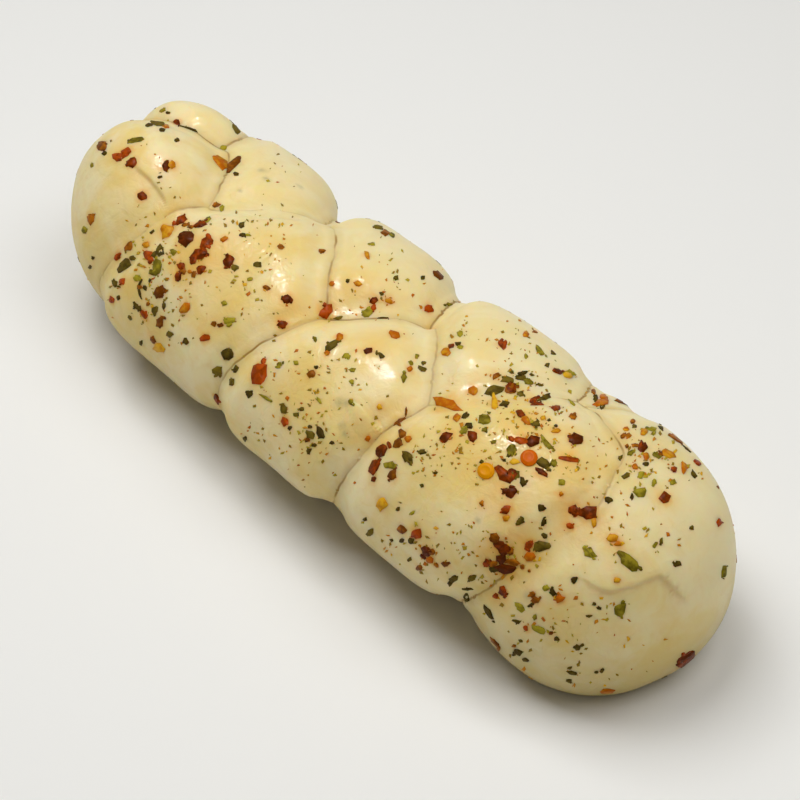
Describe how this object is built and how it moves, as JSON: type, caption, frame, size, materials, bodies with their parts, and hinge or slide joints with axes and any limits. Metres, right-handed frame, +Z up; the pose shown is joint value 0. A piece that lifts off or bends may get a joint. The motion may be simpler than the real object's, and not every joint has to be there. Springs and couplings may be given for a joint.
{
  "type": "braided cheese",
  "caption": "Braided string cheese with a big rounded end, flattened underside, and chilli and herb flakes in relief.",
  "frame": {"origin": "middle of the underside, at the level of the board that the cheese rests on", "axes": "+X along the braid towards its big rounded end, +Z up, -Y towards the side whose lobes are seen whole"},
  "size_m": [0.172, 0.0562, 0.0445],
  "materials": {
    "cheese": "soft ivory cheese skin with a low moist gloss"
  },
  "bodies": {
    "root": {"cheese_braid": "cheese"}
  },
  "joints": []
}
